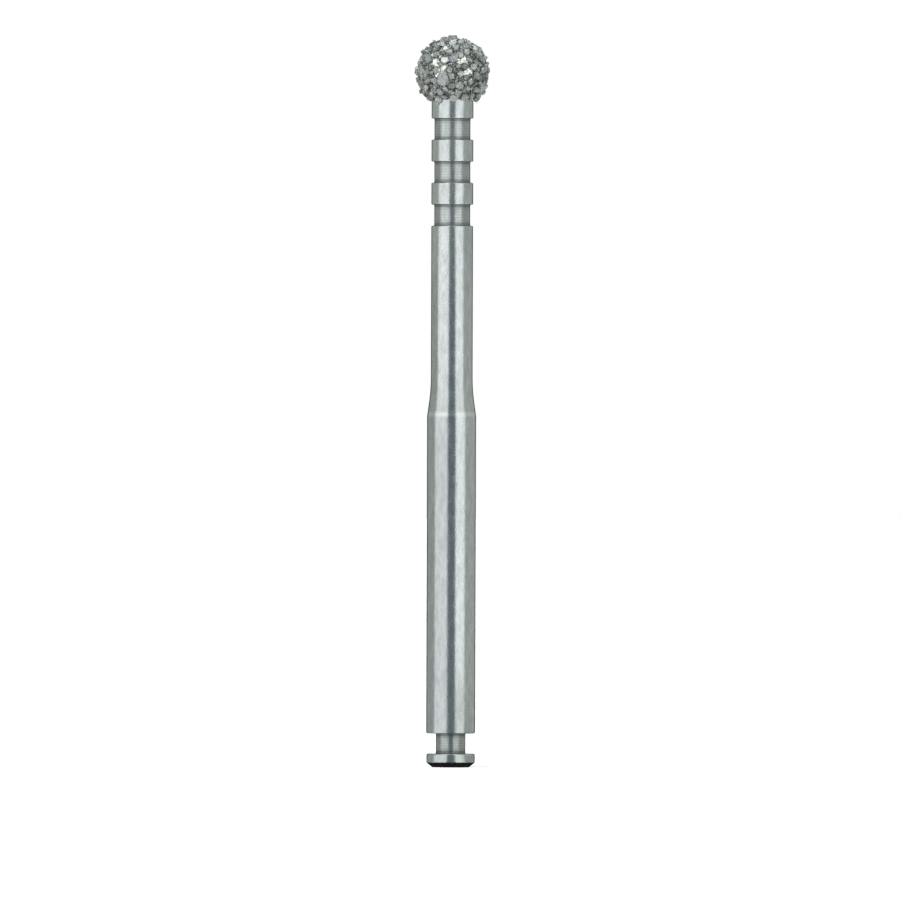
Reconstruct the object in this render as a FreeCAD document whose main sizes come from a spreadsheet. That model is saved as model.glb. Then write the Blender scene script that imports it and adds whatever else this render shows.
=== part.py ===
import FreeCAD, Part

# Round diamond bur with a long latch-type shank, in millimetres.
# It stands on its tail end: the origin is the centre of that end and +Z runs up the axis to the ball.
# It is a turned steel blank, the nickel plated on its ball, and the diamond grit on the nickel.

import math
import os
import random

import Sketcher
from FreeCAD import Vector

# Driving dimensions: name, value, meaning.
SIZES = [
    ("overall_length", 35.03, "from the tail end to the tip of the highest crystal"),
    ("shank_diameter", 2.35, "latch-type shank"),
    ("shank_top", 16.8, "height where the taper starts"),
    ("taper_angle", 8.0, "between the taper and the axis, in degrees"),
    ("taper_blend_share", 0.5, "share of the taper that a hollow arc into the neck takes up"),
    ("neck_diameter", 2.0, "slim neck below the ball"),
    ("disc_relief", 0.015, "how far the tail disc, which the latch holds, lies inside the shank"),
    ("disc_length", 0.66, "tail disc"),
    ("chamfer_width", 0.29, "radial width of the tail chamfer"),
    ("chamfer_height", 0.22, "axial height of the tail chamfer"),
    ("latch_diameter", 1.42, "bottom of the latch groove"),
    ("latch_length", 0.96, "latch groove"),
    ("latch_edge", 0.07, "broken edges on both sides of the latch groove"),
    ("flat_thickness", 1.8, "left of the shank behind the drive flat"),
    ("flat_length", 5.2, "drive flat, from the tail end"),
    ("flat_corner_radius", 0.12, "inner corner at the shoulder of the drive flat"),
    ("mark_depth", 9.13, "from the tip to the lower edge of the lowest depth mark"),
    ("mark_cut", 0.14, "radial depth of a depth mark"),
    ("mark_length", 1.02, "depth mark"),
    ("mark_pitch", 2.06, "from one depth mark to the next"),
    ("mark_count", 3, "depth marks"),
    ("mark_edge", 0.04, "broken edges on both sides of a depth mark"),
    ("ball_diameter", 2.8, "steel ball of the blank"),
    ("bond_thickness", 0.18, "nickel plated on the ball"),
    ("grit_reach", 0.26, "height of the highest crystals over the nickel"),
    ("grit_gap", 0.012, "least space between two crystals"),
    ("medium_grit", 0.36, "width of a medium crystal"),
    ("fine_grit", 0.24, "width of a fine crystal"),
]

BALL_HEIGHT = (
    "(sizes.overall_length - sizes.ball_diameter / 2 - sizes.bond_thickness - sizes.grit_reach)"
)
BOND_RADIUS = "(sizes.ball_diameter / 2 + sizes.bond_thickness)"
MARK_START = "(sizes.overall_length - sizes.mark_depth)"
MARK_RADIUS = "(sizes.neck_diameter / 2 - sizes.mark_cut)"
DISC_RADIUS = "(sizes.shank_diameter / 2 - sizes.disc_relief)"
LATCH_TOP = "(sizes.disc_length + sizes.latch_length)"
TAPER_SLANT = "((sizes.shank_diameter - sizes.neck_diameter) / 2 / sin(sizes.taper_angle))"
BLEND_RADIUS = f"(sizes.taper_blend_share * {TAPER_SLANT} / tan(sizes.taper_angle / 2))"
FLAT_OFFSET = "(sizes.flat_thickness - sizes.shank_diameter / 2)"

# The crystals with a place of their own: degrees round to the right of -Y, the side shown by the
# photograph, then degrees above the ball's equator, and width. The first one crowns the ball.
LARGE_CRYSTALS = [
    (0, 90, 0.42),
    (-17, -10, 0.62),
    (2, 24, 0.46),
    (-38, -50, 0.36),
    (3, -46, 0.42),
    (-70, -47, 0.34),
    (66, -26, 0.44),
    (20, 11, 0.40),
    (32, 24, 0.38),
    (15, 30, 0.34),
    (-84, 41, 0.42),
    (-86, 56, 0.38),
    (-48, 23, 0.46),
    (-25, -33, 0.38),
    (12, -20, 0.40),
    (150, 35, 0.52),
    (205, -15, 0.56),
    (110, 8, 0.50),
]
# Where bare nickel shows between the crystals, written the same way.
BARE_PATCHES = [
    (-31, 19, 0.34),
    (18, 20, 0.34),
    (27, 3, 0.30),
    (-19, 6, 0.26),
    (-19, 47, 0.24),
    (120, 30, 0.32),
    (175, 5, 0.34),
    (235, 25, 0.30),
    (290, -5, 0.26),
]
GRIT_SEED = 35
# How often a place is tried for a crystal of each grade.
GRADES = [("sizes.medium_grit", 4000), ("sizes.fine_grit", 2500)]
# Widths, as shares of the grade's width, and the least distance, as a share of two crystals' mean.
WIDTHS = (0.82, 1.18)
CLOSEST = 0.9
# How far a crystal may hang over the edge of the nickel at the neck, as a share of its width.
OVERHANG = 0.33
# The form of a crystal, in shares of its width: height, distance of a side from the middle,
# distance and share of the height of a bevel's middle, and the shallowest cut that is made.
HEIGHTS = (0.38, 0.74)
SIDE_REACHES = (0.42, 0.5)
BEVEL_REACH = 0.3
BEVEL_LEVEL = 0.85
SHALLOWEST_CUT = 0.1
# Its number of sides, and how far its top, its sides and its bevel lean, in degrees.
SIDES = 5
SIDE_WANDER = 0.28
TOP_TILTS = (2, 22)
SIDE_LEANS = (-4, 28)
BEVEL_LEANS = (35, 60)


def number(sheet, formula):
    """The value of a formula of the driving dimensions."""
    return float(sheet.evalExpression(formula))


def fill_sheet(doc):
    """Writes the driving dimensions into the sheet, one row each, with an alias."""
    sheet = doc.addObject("Spreadsheet::Sheet", "sizes")
    for row, (alias, value, meaning) in enumerate(SIZES, 1):
        sheet.set(f"A{row}", alias)
        sheet.set(f"B{row}", str(value))
        sheet.set(f"C{row}", meaning)
        sheet.setAlias(f"B{row}", alias)
    doc.recompute()
    return sheet


def origin_feature(body, role):
    """One of the body's own origin planes and axes."""
    return next(feature for feature in body.Origin.OriginFeatures if feature.Role == role)


def new_sketch(body, name, plane):
    sketch = body.newObject("Sketcher::SketchObject", name)
    sketch.AttachmentSupport = [(origin_feature(body, plane), "")]
    sketch.MapMode = "FlatFace"
    return sketch


def tie(sketch, constraint, formula):
    index = sketch.addConstraint(constraint)
    sketch.setExpression(f"Constraints[{index}]", formula)


def tie_point(sketch, geometry, end, across=None, height=None):
    """Ties a point of the sketch to the driving dimensions, measured from the origin."""
    now = sketch.getPoint(geometry, end)
    if across:
        tie(sketch, Sketcher.Constraint("DistanceX", -1, 1, geometry, end, now.x), across)
    if height:
        tie(sketch, Sketcher.Constraint("DistanceY", -1, 1, geometry, end, now.y), height)


def draw_profile(body, sheet):
    """Half section of the blank: tail end, disc, latch groove, shank, taper, neck and ball."""
    sketch = new_sketch(body, "blank_profile", "XZ_Plane")
    chamfer_foot = number(sheet, f"{DISC_RADIUS} - sizes.chamfer_width")
    disc = number(sheet, DISC_RADIUS)
    latch = number(sheet, "sizes.latch_diameter / 2")
    shank = number(sheet, "sizes.shank_diameter / 2")
    neck = number(sheet, "sizes.neck_diameter / 2")
    ball = number(sheet, "sizes.ball_diameter / 2")
    blend = number(sheet, BLEND_RADIUS)
    shank_top = number(sheet, "sizes.shank_top")
    ball_height = number(sheet, BALL_HEIGHT)
    disc_top = number(sheet, "sizes.disc_length")
    latch_top = number(sheet, LATCH_TOP)
    slope = math.radians(number(sheet, "sizes.taper_angle"))

    tangent = blend * math.tan(slope / 2)
    taper_foot = shank_top + (shank - neck) / math.tan(slope)
    taper_end = (neck + tangent * math.sin(slope), taper_foot - tangent * math.cos(slope))
    corners = [
        (0, 0),
        (chamfer_foot, 0),
        (disc, number(sheet, "sizes.chamfer_height")),
        (disc, disc_top),
        (latch, disc_top),
        (latch, latch_top),
        (shank, latch_top),
        (shank, shank_top),
        taper_end,
    ]
    for start, end in zip(corners, corners[1:]):
        sketch.addGeometry(Part.LineSegment(Vector(*start, 0), Vector(*end, 0)), False)
    tail_end, chamfer, disc_side, disc_face, latch_side, shank_face, shank_side, taper = range(8)

    blend_centre = Vector(neck + blend, taper_foot + tangent, 0)
    hollow = Part.Circle(blend_centre, Vector(0, 0, 1), blend)
    blend_arc = sketch.addGeometry(Part.ArcOfCircle(hollow, math.pi, math.pi + slope), False)
    ball_foot = ball_height - math.sqrt(ball**2 - neck**2)
    neck_side = sketch.addGeometry(
        Part.LineSegment(Vector(neck, blend_centre.y, 0), Vector(neck, ball_foot, 0)), False
    )
    globe = Part.Circle(Vector(0, ball_height, 0), Vector(0, 0, 1), ball)
    foot_angle = math.atan2(ball_foot - ball_height, neck)
    ball_arc = sketch.addGeometry(Part.ArcOfCircle(globe, foot_angle, math.pi / 2), False)
    axis = sketch.addGeometry(
        Part.LineSegment(Vector(0, ball_height + ball, 0), Vector(0, 0, 0)), False
    )

    for line in range(taper):
        sketch.addConstraint(Sketcher.Constraint("Coincident", line, 2, line + 1, 1))
    for line in (tail_end, disc_face, shank_face):
        sketch.addConstraint(Sketcher.Constraint("Horizontal", line))
    for line in (disc_side, latch_side, shank_side, neck_side):
        sketch.addConstraint(Sketcher.Constraint("Vertical", line))
    sketch.addConstraint(Sketcher.Constraint("Coincident", tail_end, 1, -1, 1))
    sketch.addConstraint(Sketcher.Constraint("Tangent", taper, 2, blend_arc, 2))
    sketch.addConstraint(Sketcher.Constraint("Tangent", blend_arc, 1, neck_side, 1))
    sketch.addConstraint(Sketcher.Constraint("Coincident", neck_side, 2, ball_arc, 1))
    sketch.addConstraint(Sketcher.Constraint("PointOnObject", ball_arc, 3, -2))
    sketch.addConstraint(Sketcher.Constraint("PointOnObject", ball_arc, 2, -2))
    sketch.addConstraint(Sketcher.Constraint("Coincident", ball_arc, 2, axis, 1))
    sketch.addConstraint(Sketcher.Constraint("Coincident", axis, 2, -1, 1))

    tie_point(sketch, tail_end, 2, f"{DISC_RADIUS} - sizes.chamfer_width")
    tie_point(sketch, chamfer, 2, DISC_RADIUS, "sizes.chamfer_height")
    tie_point(sketch, disc_face, 2, "sizes.latch_diameter / 2", "sizes.disc_length")
    tie_point(sketch, shank_face, 2, "sizes.shank_diameter / 2", LATCH_TOP)
    tie_point(sketch, shank_side, 2, height="sizes.shank_top")
    tie_point(sketch, neck_side, 2, "sizes.neck_diameter / 2")
    tie_point(sketch, ball_arc, 3, height=BALL_HEIGHT)
    tie(sketch, Sketcher.Constraint("Radius", blend_arc, blend), BLEND_RADIUS)
    tie(sketch, Sketcher.Constraint("Radius", ball_arc, ball), "sizes.ball_diameter / 2")
    tie(
        sketch,
        Sketcher.Constraint("Angle", taper, math.pi / 2 + slope),
        "(90 + sizes.taper_angle) * 1 deg",
    )
    return sketch


def draw_rectangle(sketch, sheet, low, high):
    """A rectangle between two corners, each given as the formulas of its two coordinates."""
    left, bottom = (number(sheet, formula) for formula in low)
    right, top = (number(sheet, formula) for formula in high)
    corners = [(left, bottom), (right, bottom), (right, top), (left, top)]
    for start, end in zip(corners, corners[1:] + corners[:1]):
        sketch.addGeometry(Part.LineSegment(Vector(*start, 0), Vector(*end, 0)), False)
    for line in range(4):
        sketch.addConstraint(Sketcher.Constraint("Coincident", line, 2, (line + 1) % 4, 1))
        sketch.addConstraint(Sketcher.Constraint("Vertical" if line % 2 else "Horizontal", line))
    tie_point(sketch, 0, 1, *low)
    tie_point(sketch, 2, 1, *high)


def turn_blank(body, sheet):
    """The profile turned round the axis."""
    profile = draw_profile(body, sheet)
    turned = body.newObject("PartDesign::Revolution", "turned_blank")
    turned.Profile = profile
    turned.ReferenceAxis = (profile, ["V_Axis"])
    turned.Angle = 360
    body.Document.recompute()


def cut_depth_marks(body, sheet):
    """The lowest depth mark is a groove, and the others repeat it up the neck."""
    sketch = new_sketch(body, "mark_profile", "XZ_Plane")
    low = (MARK_RADIUS, MARK_START)
    high = ("sizes.neck_diameter", f"{MARK_START} + sizes.mark_length")
    draw_rectangle(sketch, sheet, low, high)
    groove = body.newObject("PartDesign::Groove", "depth_mark")
    groove.Profile = sketch
    groove.ReferenceAxis = (sketch, ["V_Axis"])
    groove.Angle = 360
    body.Document.recompute()
    marks = body.newObject("PartDesign::LinearPattern", "depth_marks")
    marks.Originals = [groove]
    marks.Direction = (origin_feature(body, "Z_Axis"), [""])
    marks.Mode = "Extent"
    marks.setExpression("Length", "sizes.mark_pitch * (sizes.mark_count - 1)")
    marks.setExpression("Occurrences", "sizes.mark_count")
    body.Tip = marks
    body.Document.recompute()


def near(first, second):
    return abs(first - second) < 1e-6


def ring_edges(shape, radius, heights):
    """Names of the round edges with that radius at any of those heights."""
    return [
        f"Edge{index}"
        for index, edge in enumerate(shape.Edges, 1)
        if not edge.Degenerated
        and isinstance(edge.Curve, Part.Circle)
        and near(edge.Curve.Radius, radius)
        and any(near(edge.Curve.Center.z, height) for height in heights)
    ]


def dress(body, kind, name, edges, measure, formula):
    """Adds a fillet or a chamfer on those edges, with its radius or size tied to the sheet."""
    base = body.Tip
    dressing = body.newObject(kind, name)
    dressing.Base = (base, edges)
    dressing.setExpression(measure, formula)
    body.Tip = dressing
    body.Document.recompute()


def break_edges(body, sheet):
    """The turned edges that are broken: those of the depth marks and those of the latch groove."""
    first = number(sheet, MARK_START)
    pitch = number(sheet, "sizes.mark_pitch")
    length = number(sheet, "sizes.mark_length")
    starts = [first + pitch * index for index in range(int(number(sheet, "sizes.mark_count")))]
    heights = starts + [start + length for start in starts]
    neck = number(sheet, "sizes.neck_diameter / 2")
    mark_edges = ring_edges(body.Tip.Shape, neck, heights)
    dress(body, "PartDesign::Chamfer", "mark_edges", mark_edges, "Size", "sizes.mark_edge")
    shape = body.Tip.Shape
    disc = number(sheet, DISC_RADIUS)
    shank = number(sheet, "sizes.shank_diameter / 2")
    latch_edges = ring_edges(shape, disc, [number(sheet, "sizes.disc_length")])
    latch_edges += ring_edges(shape, shank, [number(sheet, LATCH_TOP)])
    dress(body, "PartDesign::Chamfer", "latch_edges", latch_edges, "Size", "sizes.latch_edge")


def mill_drive_flat(body, sheet):
    """The flat that the handpiece turns the bur by, on the side away from the photograph, +Y."""
    sketch = new_sketch(body, "flat_profile", "YZ_Plane")
    low = (FLAT_OFFSET, "-sizes.disc_length")
    high = ("sizes.shank_diameter", "sizes.flat_length")
    draw_rectangle(sketch, sheet, low, high)
    flat = body.newObject("PartDesign::Pocket", "drive_flat")
    flat.Profile = sketch
    flat.Type = "Length"
    flat.SideType = "Symmetric"
    flat.setExpression("Length", "sizes.shank_diameter * 2")
    body.Tip = flat
    body.Document.recompute()
    offset = number(sheet, FLAT_OFFSET)
    shoulder = number(sheet, "sizes.flat_length")
    corner = [
        f"Edge{index}"
        for index, edge in enumerate(flat.Shape.Edges, 1)
        if all(near(v.Point.y, offset) and near(v.Point.z, shoulder) for v in edge.Vertexes)
    ]
    dress(body, "PartDesign::Fillet", "flat_corner", corner, "Radius", "sizes.flat_corner_radius")


def make_steel_blank(doc, sheet):
    """The blank, turned from one bar and milled flat at the tail."""
    body = doc.addObject("PartDesign::Body", "steel_blank")
    turn_blank(body, sheet)
    cut_depth_marks(body, sheet)
    break_edges(body, sheet)
    mill_drive_flat(body, sheet)
    return body


def direction_of(turn, rise):
    """A direction from the ball's centre, as degrees round from -Y and degrees above the equator."""
    turn, rise = math.radians(turn), math.radians(rise)
    return Vector(math.cos(rise) * math.sin(turn), -math.cos(rise) * math.cos(turn), math.sin(rise))


def lay_out_grit(sheet, rng):
    """Direction and width of each crystal: the large ones first, then finer ones between them."""
    bond = number(sheet, BOND_RADIUS)
    neck_limit = math.asin(number(sheet, "sizes.neck_diameter / 2") / bond)
    bare = [(direction_of(turn, rise), width) for turn, rise, width in BARE_PATCHES]
    crystals = [(direction_of(turn, rise), width) for turn, rise, width in LARGE_CRYSTALS]
    for grade, throws in GRADES:
        usual = number(sheet, grade)
        for _ in range(throws):
            height = rng.uniform(-1, 1)
            turn = rng.uniform(0, 360)
            width = usual * rng.uniform(*WIDTHS)
            direction = direction_of(turn, math.degrees(math.asin(height)))
            if direction.z < -math.cos(neck_limit + width * OVERHANG / bond):
                continue
            taken = crystals + bare
            if all(
                (direction - other).Length * bond > CLOSEST * (width + room) / 2
                for other, room in taken
            ):
                crystals.append((direction, width))
    return crystals


def clip(faces, normal, reach):
    """Cuts a convex solid, held as lists of corners, and keeps the side where normal . p < reach."""
    kept = []
    rim = []
    for corners in faces:
        face = []
        for here, after in zip(corners, corners[1:] + corners[:1]):
            here_over = normal.dot(here) - reach
            after_over = normal.dot(after) - reach
            if here_over < 0:
                face.append(here)
            if here_over * after_over < 0:
                crossing = here + (after - here) * (here_over / (here_over - after_over))
                face.append(crossing)
                rim.append(crossing)
        if face:
            kept.append(face)
    if rim:
        middle = sum(rim, Vector()) / len(rim)
        across = (rim[0] - middle).normalize()
        along = normal.cross(across)
        rim.sort(key=lambda p: math.atan2(along.dot(p - middle), across.dot(p - middle)))
        kept.append(rim[::2])
    return kept


def cut_facet(faces, normal, reach, sliver, least=0):
    """Clips by a plane that would take off more than the least depth.

    The plane first moves inwards until it passes no corner closely enough to leave a sliver.
    """
    corners = [corner for face in faces for corner in face]
    if max(normal.dot(corner) for corner in corners) - reach < least:
        return faces
    while any(abs(normal.dot(corner) - reach) < sliver for corner in corners):
        reach -= sliver
    return clip(faces, normal, reach)


def box_faces(foot, side, up, half_width, low, high):
    """The faces of a box whose axis runs through foot, from low to high along side x up."""
    axis = side.cross(up)
    bottom, top = [
        [
            foot + side * (x * half_width) + up * (y * half_width) + axis * level
            for x, y in ((-1, -1), (1, -1), (1, 1), (-1, 1))
        ]
        for level in (low, high)
    ]
    faces = [bottom[::-1], top]
    for here, after in ((0, 1), (1, 2), (2, 3), (3, 0)):
        faces.append([bottom[here], bottom[after], top[after], top[here]])
    return faces


def grow_crystal(sheet, crystals, index, rng):
    """One irregular crystal as a convex solid that sits flat on the nickel and touches no other."""
    direction, width = crystals[index]
    bond = number(sheet, BOND_RADIUS)
    reach = number(sheet, "sizes.grit_reach")
    gap = number(sheet, "sizes.grit_gap")
    sliver = gap / 2
    steep = abs(direction.z) > math.cos(math.radians(30))
    side = (Vector(0, 1, 0) if steep else Vector(0, 0, 1)).cross(direction).normalize()
    up = direction.cross(side)
    seat = direction * bond
    crowns = index == 0
    tallest = math.sqrt((bond + reach) ** 2 - (width * SIDE_REACHES[1]) ** 2) - bond
    height = reach if crowns else min(tallest, width * rng.uniform(*HEIGHTS))
    faces = box_faces(seat, side, up, width, 0, 2 * reach)

    if direction.z < 0:
        away = Vector(direction.x, direction.y, 0).normalize()
        clear_of_neck = number(sheet, "sizes.neck_diameter / 2") + gap
        faces = cut_facet(faces, -away, -clear_of_neck, sliver)
    for other, (towards, room) in enumerate(crystals):
        apart = (towards - direction) * bond
        if other == index or apart.Length > width + room:
            continue
        normal = (towards - direction).normalize()
        share = apart.Length * width / (width + room) - gap / 2
        faces = cut_facet(faces, normal, normal.dot(seat) + share, sliver)

    def facet(turn, lean, distance, level):
        """A facet that faces turn radians round the crystal and leans upwards by lean degrees."""
        outwards = side * math.cos(turn) + up * math.sin(turn)
        normal = outwards * math.cos(math.radians(lean)) + direction * math.sin(math.radians(lean))
        point = seat + outwards * distance + direction * level
        return cut_facet(faces, normal, normal.dot(point), sliver, SHALLOWEST_CUT * width)

    tilt = 0 if crowns else rng.uniform(*TOP_TILTS)
    faces = facet(rng.uniform(0, math.tau), 90 - tilt, -width / 2, height)
    start = rng.uniform(0, math.tau)
    for step in range(SIDES):
        turn = start + (step + rng.uniform(-SIDE_WANDER, SIDE_WANDER)) * math.tau / SIDES
        distance = width * rng.uniform(*SIDE_REACHES)
        faces = facet(turn, rng.uniform(*SIDE_LEANS), distance, height / 2)
    turn = rng.uniform(0, math.tau)
    lean = rng.uniform(*BEVEL_LEANS)
    return facet(turn, lean, width * BEVEL_REACH, height * BEVEL_LEVEL)


def solid_of(faces):
    shell = Part.Shell([Part.Face(Part.makePolygon(face + face[:1])) for face in faces])
    shell.sewShape()
    return Part.Solid(shell)


def place_at_ball(doc, name, shape):
    """Adds a shape that was made round the origin, and moves it to the ball's centre."""
    item = doc.addObject("Part::Feature", name)
    item.Shape = shape
    item.setExpression("Placement.Base.z", BALL_HEIGHT)
    return item


def make_nickel_bond(doc, sheet, crystals):
    """The nickel: a shell on the steel ball that ends at the neck, with a flat seat per crystal."""
    bond = number(sheet, BOND_RADIUS)
    faces = box_faces(Vector(), Vector(1, 0, 0), Vector(0, 1, 0), 2 * bond, -2 * bond, 2 * bond)
    seats = [direction for direction, _ in crystals]
    patches = [direction_of(turn, rise) for turn, rise, _ in BARE_PATCHES]
    for direction in seats + patches:
        faces = clip(faces, direction, bond)
    plated = place_at_ball(doc, "plated_ball", solid_of(faces))

    ball = doc.addObject("Part::Sphere", "steel_ball")
    ball.setExpression("Radius", "sizes.ball_diameter / 2")
    ball.setExpression("Placement.Base.z", BALL_HEIGHT)
    neck = doc.addObject("Part::Cylinder", "neck_below_ball")
    neck.setExpression("Radius", "sizes.neck_diameter / 2")
    neck.setExpression("Height", "sizes.ball_diameter")
    neck.setExpression("Placement.Base.z", f"{BALL_HEIGHT} - sizes.ball_diameter")
    steel = doc.addObject("Part::Fuse", "steel_under_nickel")
    steel.Base = ball
    steel.Tool = neck
    nickel_bond = doc.addObject("Part::Cut", "nickel_bond")
    nickel_bond.Base = plated
    nickel_bond.Tool = steel
    return nickel_bond


def make_diamond_grit(doc, sheet, crystals, rng):
    """The crystals, each a solid of its own."""
    grown = [solid_of(grow_crystal(sheet, crystals, index, rng)) for index in range(len(crystals))]
    return place_at_ball(doc, "diamond_grit", Part.makeCompound(grown))


def check(doc, nodes):
    """Stops if any object failed, or if a piece is missing or broken."""
    for item in doc.Objects:
        if {"Invalid", "Error"} & set(item.State):
            raise RuntimeError(f"{item.Name} failed: {item.State}")
    for node in nodes:
        if node.Shape.isNull() or not node.Shape.isValid():
            raise RuntimeError(f"{node.Label} has no valid shape")


def main():
    doc = FreeCAD.newDocument("dental_bur")
    sheet = fill_sheet(doc)
    rng = random.Random(GRIT_SEED)
    crystals = lay_out_grit(sheet, rng)
    steel_blank = make_steel_blank(doc, sheet)
    nickel_bond = make_nickel_bond(doc, sheet, crystals)
    diamond_grit = make_diamond_grit(doc, sheet, crystals, rng)
    doc.recompute()

    nodes = [steel_blank, nickel_bond, diamond_grit]
    check(doc, nodes)
    os.makedirs("parts", exist_ok=True)
    for node in nodes:
        node.Shape.exportStep(f"parts/{node.Label}.step")
        print(f"{node.Label}: {len(node.Shape.Solids)} solids, {node.Shape.Volume:.3f} cubic mm")


main()
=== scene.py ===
import math
import random

import bmesh
import bpy
from mathutils import Matrix, Vector, noise
from mathutils.bvhtree import BVHTree


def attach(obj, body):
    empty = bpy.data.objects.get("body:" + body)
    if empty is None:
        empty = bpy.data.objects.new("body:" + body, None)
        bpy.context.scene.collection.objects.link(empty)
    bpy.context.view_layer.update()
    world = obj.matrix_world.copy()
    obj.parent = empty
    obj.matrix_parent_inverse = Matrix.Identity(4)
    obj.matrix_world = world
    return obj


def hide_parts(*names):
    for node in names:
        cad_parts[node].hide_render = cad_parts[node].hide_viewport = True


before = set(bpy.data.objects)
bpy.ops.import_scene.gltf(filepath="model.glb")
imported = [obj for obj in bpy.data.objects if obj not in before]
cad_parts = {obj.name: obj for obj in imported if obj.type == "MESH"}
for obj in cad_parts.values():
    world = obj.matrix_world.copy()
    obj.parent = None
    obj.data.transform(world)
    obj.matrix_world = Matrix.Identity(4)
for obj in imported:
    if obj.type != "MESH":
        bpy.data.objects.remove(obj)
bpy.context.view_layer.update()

# A round diamond bur with a latch-type shank, upright on its tail end. Sizes below are in
# millimetres, as on the bur's drawing, and MM turns them into the scene's metres.
MM = 0.001

# The turned steel blank.
SHANK_RADIUS = 1.175
SHANK_TOP = 16.8
TAPER_ANGLE = math.radians(8)
TAPER_BLEND = 8.99
NECK_RADIUS = 1.0
DISC_RADIUS = 1.16
DISC_LENGTH = 0.66
CHAMFER_WIDTH = 0.29
CHAMFER_HEIGHT = 0.22
LATCH_RADIUS = 0.71
LATCH_TOP = 1.62
FLAT_OFFSET = 0.625
FLAT_LENGTH = 5.2
FLAT_CORNER = 0.12
MARK_START = 25.9
MARK_RADIUS = 0.86
MARK_LENGTH = 1.02
MARK_PITCH = 2.06
MARK_COUNT = 3
BALL_HEIGHT = 33.19
BALL_RADIUS = 1.4
TURNS = 192
# Rounded edges, and the hollow corners that the turning tool leaves.
LATCH_EDGE = 0.085
TAIL_EDGE = 0.09
MARK_EDGE = 0.045
MARK_CORNER = 0.07
LATCH_CORNER = 0.05
SHANK_EDGE = 0.3
# An extra ring that far beside each rounding keeps the wall next to it straight in the light.
SUPPORT = 0.015
# The angle of one step round an edge, the steps of the two long arcs, and the angle from which
# an edge is sharp.
ROUNDING_STEP = math.radians(15)
BLEND_STEPS = 10
GLOBE_STEPS = 24
CREASE_ANGLE = math.radians(24)
# The turning tool's ripple on the floor of each groove, and the steps that draw one wave of it.
RIPPLE_PITCH = 0.13
RIPPLE_STEPS = 6
MARK_RIPPLE = 0.0014
LATCH_RIPPLE = 0.0005
# The grooves are rougher than the rest and darkened with painted shade, most of all near their
# walls and in the ripple's valleys. The first value is the least share of it, the second how far
# it reaches from a wall.
HOLLOW_LEAST = 0.2
HOLLOW_REACH = 0.16
HOLLOW_ROUGHNESS = 0.22
RIPPLE_SHADE_AND_DULLNESS = 0.26
# A painted highlight: the bright line along the shank's rounded top edge.
HIGHLIGHT_LINE_REACH = 0.17
# Depths of the fine rings round the steel and of its grain.
RING_DEPTH = 0.001
GRAIN_DEPTH = 0.0024

# The nickel: how it climbs up a crystal's foot, its lumps, and how much of them a bare patch
# lacks.
BOND_RADIUS = 1.58
MENISCUS_HEIGHT = 0.045
MENISCUS_REACH = 0.05
LUMP_HEIGHT = 0.018
LUMP_SIZE = 0.16
BARE_SMOOTHNESS = 0.75
NODULE_DEPTH = 0.004
# A bare patch's reach as a share of its width, and the place of its edge, the steepness and
# the raggedness of that edge as shares of the reach.
PATCH_REACH = 0.7
PATCH_EDGE = 1.15
PATCH_STEEPNESS = 4
PATCH_RAG_SIZE = 0.12
PATCH_RAG_DEPTH = 0.3
# The painted shade round a crystal's foot, the margin of what a crystal covers, where the nickel is
# painted pale as light through the crystal, the share of the radius from which that is looked for,
# and the height from which painted light makes the nickel paler towards the top.
CREVICE_SHADE_REACH = 0.04
COVER_MARGIN = 0.05
COVER_START = 0.99
TOP_LIGHT_START = -0.5
# The crystals: their broken edges, the chips out of their faces, the pits, the painted shade at
# their foot, and how far two faces differ in direction to have painted light and shade of their
# own.
EDGE_WIDTH = 0.03
EDGE_ANGLE = math.radians(20)
CHIP_DEPTH = 0.045
CHIP_SIZE = 0.16
PIT_DEPTH = 0.012
FOOT_SHADE_HEIGHT = 0.07
FACET_SNAP = 0.25
# The small crystals: their widths and how often a place is tried for each, largest first.
FINE_SEED = 7
FINE_GRADES = [(0.30, 2500), (0.23, 3000), (0.17, 3500), (0.12, 3500), (0.085, 3500)]
# The spread of their widths, of their corners and of their proportions, the sine of the lowest
# place, and how far out the middle is over the nickel, as a share of the width.
FINE_SPREAD = (0.85, 1.1)
FINE_CORNERS = (10, 14)
FINE_STRETCH = (0.75, 1.15)
FINE_LOWEST = -0.76
FINE_PROUDNESS = (0.25, 0.5)
# How far out they may reach, and as shares of the width, how far that is from the middle, and the
# least room between the middle and a large crystal, and between the middles of two small ones.
FINE_TOP = 1.78
FINE_REACH = 0.58
FINE_ROOM = 0.24
FINE_SPACING = 0.38
# Crystals that stand out from the ball's outline, written as the bare patches are, how far out
# their highest corner is, and how far from the axis it may be.
STANDING_TOP = 1.88
STANDING_REACH = 1.79
STANDING_CRYSTALS = [
    (80, -31, 0.40),
    (-43, -54, 0.46),
    (90, 15, 0.30),
    (86, 26, 0.40),
    (92, 42, 0.34),
    (-90, 62, 0.32),
    (-88, 36, 0.32),
    (-90, -2, 0.24),
    (-90, -30, 0.36),
    (172, -28, 0.34),
    (178, 24, 0.32),
]
BALL_CENTRE = Vector((0, 0, BALL_HEIGHT))
# Where bare nickel shows between the crystals: degrees round to the right of the camera's side,
# degrees above the ball's equator, and width.
BARE_PATCHES = [
    (-33, 19, 0.24),
    (-31, 14, 0.14),
    (-45, 31, 0.14),
    (17, 22, 0.36),
    (23, 15, 0.16),
    (28, 2, 0.26),
    (22, 0, 0.14),
    (-25, 4, 0.12),
    (-20, 6, 0.15),
    (-15, 9, 0.12),
    (-11, 12, 0.12),
    (-31, 5, 0.16),
    (-28, -3, 0.16),
    (-19, 49, 0.18),
    (120, 30, 0.32),
    (175, 5, 0.34),
    (235, 25, 0.30),
    (290, -5, 0.26),
]
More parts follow.
